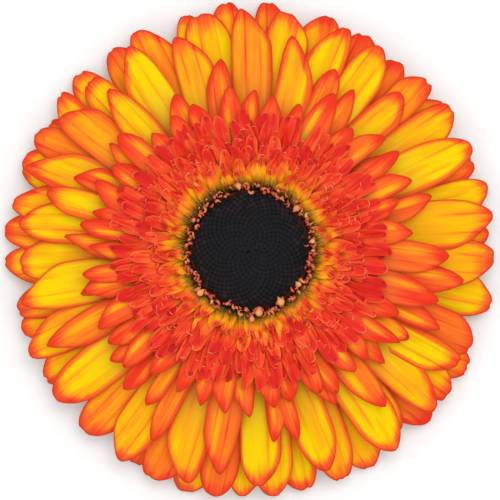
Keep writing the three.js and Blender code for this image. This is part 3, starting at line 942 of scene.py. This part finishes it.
class GERBERA_OT_eye(GerberaOperator, bpy.types.Operator):
    """Build the eye of closed disc florets"""

    bl_idname = "gerbera.eye"
    bl_label = "Eye"

    # The florets' bed, foot to top: distance from the axis, height over the eye's foot, how brown.
    BED = (
        (0.3, -0.2, 1), (13.2, 0.1, 1), (13.3, 3.5, 1), (13.3, 6.2, 1),
        (13.1, 7.0, 1), (12.2, 7.4, 0.3), (6.0, 8.1, 0), (0.3, 8.4, 0),
    )

    def build(self, scene):
        settings = scene.gerbera_eye
        matt = {"roughness": 0.8, "specular_ior_level": 0.05}
        material = two_tone_material(
            "closed disc floret tissue", settings.dark, settings.sheen, 500.0, **matt
        )
        luck = np.random.default_rng([SEED, 40])
        low, high = (np.array(corner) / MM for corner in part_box("eye"))
        radius = (high - low)[0] / 2
        spacing = settings.floret / MM
        count = int(0.95 * (2 * radius / spacing) ** 2)
        order = np.arange(count)[:, None]
        # A golden angle from each floret to the next spaces them evenly.
        distance = (radius - 0.3) * np.sqrt((order + 0.5) / count)
        direction = order * math.pi * (3 - math.sqrt(5))
        dome = high[2] - 1.9 * (distance / radius) ** 3 - luck.uniform(0, 0.1, order.shape)
        profile = np.array([0.9, 1.0, 0.92, 0.68, 0.15])
        out = distance * np.array([0.97, 1, 1, 1, 1])
        paths = about_axis(direction, out, 0, dome - np.array([4.5, 0.4, 0.14, 0.03, 0]))
        radii = spacing * 0.64 * profile * luck.uniform(0.94, 1.05, order.shape)
        near_edge = smooth(distance / radius, 0.6, 0.4)
        made = swept(paths, radii, 6, near_edge * luck.uniform(0, 1, order.shape) ** 2)
        add_piece("closed_disc_florets", "eye", "eye_dark", material, made)
        bed = two_tone_material("floret bed tissue", settings.dark, settings.bed, 500.0, **matt)
        distance, height, tone = np.array(self.BED).T
        made = turned(distance, low[2] + height, tone, 48)
        add_piece("eye_cushion", None, "eye_dark", bed, made)


class GERBERA_OT_bracts(GerberaOperator, bpy.types.Operator):
    """Build the two rings of green bracts"""

    bl_idname = "gerbera.bracts"
    bl_label = "Bracts"

    def build(self, scene):
        settings = scene.gerbera_green
        material = bract_material("bract leaf tissue", settings)
        for offset, node in enumerate(("inner_bracts", "outer_bracts")):
            luck = np.random.default_rng([SEED, 50 + offset])
            florets = florets_of(node)
            for index, one in enumerate(florets):
                one.width = one.width * luck.uniform(1.2, 1.4)
                one.roll = luck.uniform(-1, 1) * 0.15
                one.sway = luck.normal(0, 0.3)
                one.thickness = 0.4
                one.height = one.height + 0.15 * (-1) ** index * smooth(one.share, 0, 0.5)
            blades = [
                blade(one, BRACT_BLADE, luck, bract_relief, luck.uniform(0, 0.3), index)
                for index, one in enumerate(florets)
            ]
            add_piece(f"{node}_leaves", node, "bract_green", material, gathered(blades))


def stem_profile():
    """The CAD solid's profile from the middle of the cut face to the middle of its top, at even
    steps, with 1 on the cut face and 0 elsewhere."""
    corners = corners_of("stem_and_receptacle")[0]
    rows = np.column_stack([corners[:, 2], np.hypot(corners[:, 0], corners[:, 1])])
    height, distance = np.unique(np.round(rows, 1), axis=0).T
    gone = np.concatenate([[0], np.cumsum(np.hypot(np.diff(height), np.diff(distance)))])
    inset, stations = 0.2, 60
    even = np.linspace(inset, gone[-1] - inset, stations)
    face = even < distance[height < 0.05].max()
    return np.interp(even, gone, distance), np.interp(even, gone, height), face.astype(float)


class GERBERA_OT_stem(GerberaOperator, bpy.types.Operator):
    """Build the stub of the stem with its cut face"""

    bl_idname = "gerbera.stem"
    bl_label = "Stem"

    RIBS = 28
    CORNERS_TO_A_RIB = 6

    def build(self, scene):
        settings = scene.gerbera_green
        material = two_tone_material("stem", settings.stem, settings.pith, 900.0, roughness=0.55)
        distance, height, face = stem_profile()
        pith = 0.9 * face * smooth(4 * (0.9 - distance / distance[face > 0].max()))
        rib = settings.rib / MM * (1 - face) * smooth(distance, 0, 3)
        around = self.RIBS * self.CORNERS_TO_A_RIB
        made = turned(distance, height + 0.2 * pith, pith, around, self.RIBS, rib)
        add_piece("ribbed_stem", "stem_and_receptacle", "stem_green", material, made)


def add_floor(settings):
    """A pale round floor under the flower."""
    corners, radius = 64, 3
    turn = 2 * np.pi * np.arange(corners) / corners
    mesh = bpy.data.meshes.new("floor")
    mesh.from_pydata(about_axis(turn, radius, 0, 0 * turn), [], [range(corners)])
    material, tree, shader = new_material("matt white paper", roughness=0.9)
    place = add(tree, "ShaderNodeTexCoord").outputs["Object"]
    grain = add(tree, "ShaderNodeTexNoise", named={"Vector": place, "Scale": 900.0})
    shade = mixed(tree, swung(tree, grain, 0.985, 1.0), (0, 0, 0), settings.floor)
    tree.links.new(shade, shader.inputs["Base Color"])
    mesh.materials.append(material)
    made = placed("floor", mesh)
    made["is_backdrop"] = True


def add_camera(scene, settings):
    """A long lens straight above the axis, with the photograph's up as +Y."""
    data = bpy.data.cameras.new("camera")
    data.sensor_width = 36
    data.lens = data.sensor_width * settings.distance / settings.width
    data.clip_end = 10
    camera = placed("camera", data)
    camera.location = (*(AXIS * MM), settings.plane + settings.distance)
    scene.camera = camera


def add_light(scene):
    """A broad soft light from above on the photograph's upper right, and pale light all round."""
    scene.view_settings.view_transform = "Standard"
    world = bpy.data.worlds.new("studio")
    world.use_nodes = True
    back = world.node_tree.nodes["Background"]
    back.inputs["Color"].default_value = (1, 1, 1, 1)
    back.inputs["Strength"].default_value = 0.9
    scene.world = world
    for name, place, width, power in (
        ("key", (0.1, 0.2, 1.0), 0.5, 2.9),
        ("fill", (-0.3, -0.2, 1.0), 1.0, 0.5),
    ):
        data = bpy.data.lights.new(name, "AREA")
        data.size = width
        data.energy = power
        lamp = placed(name, data)
        lamp.location = place
        x, y, z = place
        lamp.rotation_euler = (math.atan2(math.hypot(x, y), z), 0, math.atan2(-y, -x) - math.pi / 2)


class GERBERA_OT_stage(GerberaOperator, bpy.types.Operator):
    """Build the floor, the light and the camera"""

    bl_idname = "gerbera.stage"
    bl_label = "Stage"

    def build(self, scene):
        settings = scene.gerbera_stage
        add_floor(settings)
        add_camera(scene, settings)
        add_light(scene)


class GERBERA_PT_panel(bpy.types.Panel):
    """The sidebar panel that lists the operators and their sizes and colours."""

    bl_idname = "GERBERA_PT_panel"
    bl_label = "Gerbera"
    bl_space_type = "VIEW_3D"
    bl_region_type = "UI"
    bl_category = "Gerbera"

    def draw(self, context):
        for operator in OPERATORS:
            self.layout.operator(operator.bl_idname)
        for name, group in SETTINGS.items():
            box = self.layout.box()
            box.label(text=group.__doc__)
            for key in group.__annotations__:
                box.prop(getattr(context.scene, name), key)


SETTINGS = {
    "gerbera_petals": GerberaPetalSettings,
    "gerbera_crown": GerberaCrownSettings,
    "gerbera_eye": GerberaEyeSettings,
    "gerbera_green": GerberaGreenSettings,
    "gerbera_stage": GerberaStageSettings,
}
OPERATORS = (
    GERBERA_OT_stem, GERBERA_OT_bracts, GERBERA_OT_petals, GERBERA_OT_crown, GERBERA_OT_lips,
    GERBERA_OT_bristles, GERBERA_OT_rim_florets, GERBERA_OT_eye, GERBERA_OT_stage,
)
CLASSES = (*SETTINGS.values(), *OPERATORS, GERBERA_PT_panel)


def register():
    for cls in CLASSES:
        bpy.utils.register_class(cls)
    for name, group in SETTINGS.items():
        setattr(bpy.types.Scene, name, PointerProperty(type=group))


def unregister():
    for name in SETTINGS:
        delattr(bpy.types.Scene, name)
    for cls in reversed(CLASSES):
        bpy.utils.unregister_class(cls)


def main():
    """Registers the classes, builds every piece and works out the CAD box and the model's box."""
    register()
    for operator in OPERATORS:
        getattr(bpy.ops.gerbera, operator.bl_idname.partition(".")[2])()
    sizes = {"cad_box": CAD_BOX, "visual_box": [list(corner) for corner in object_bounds()]}


if __name__ == "__main__":
    main()
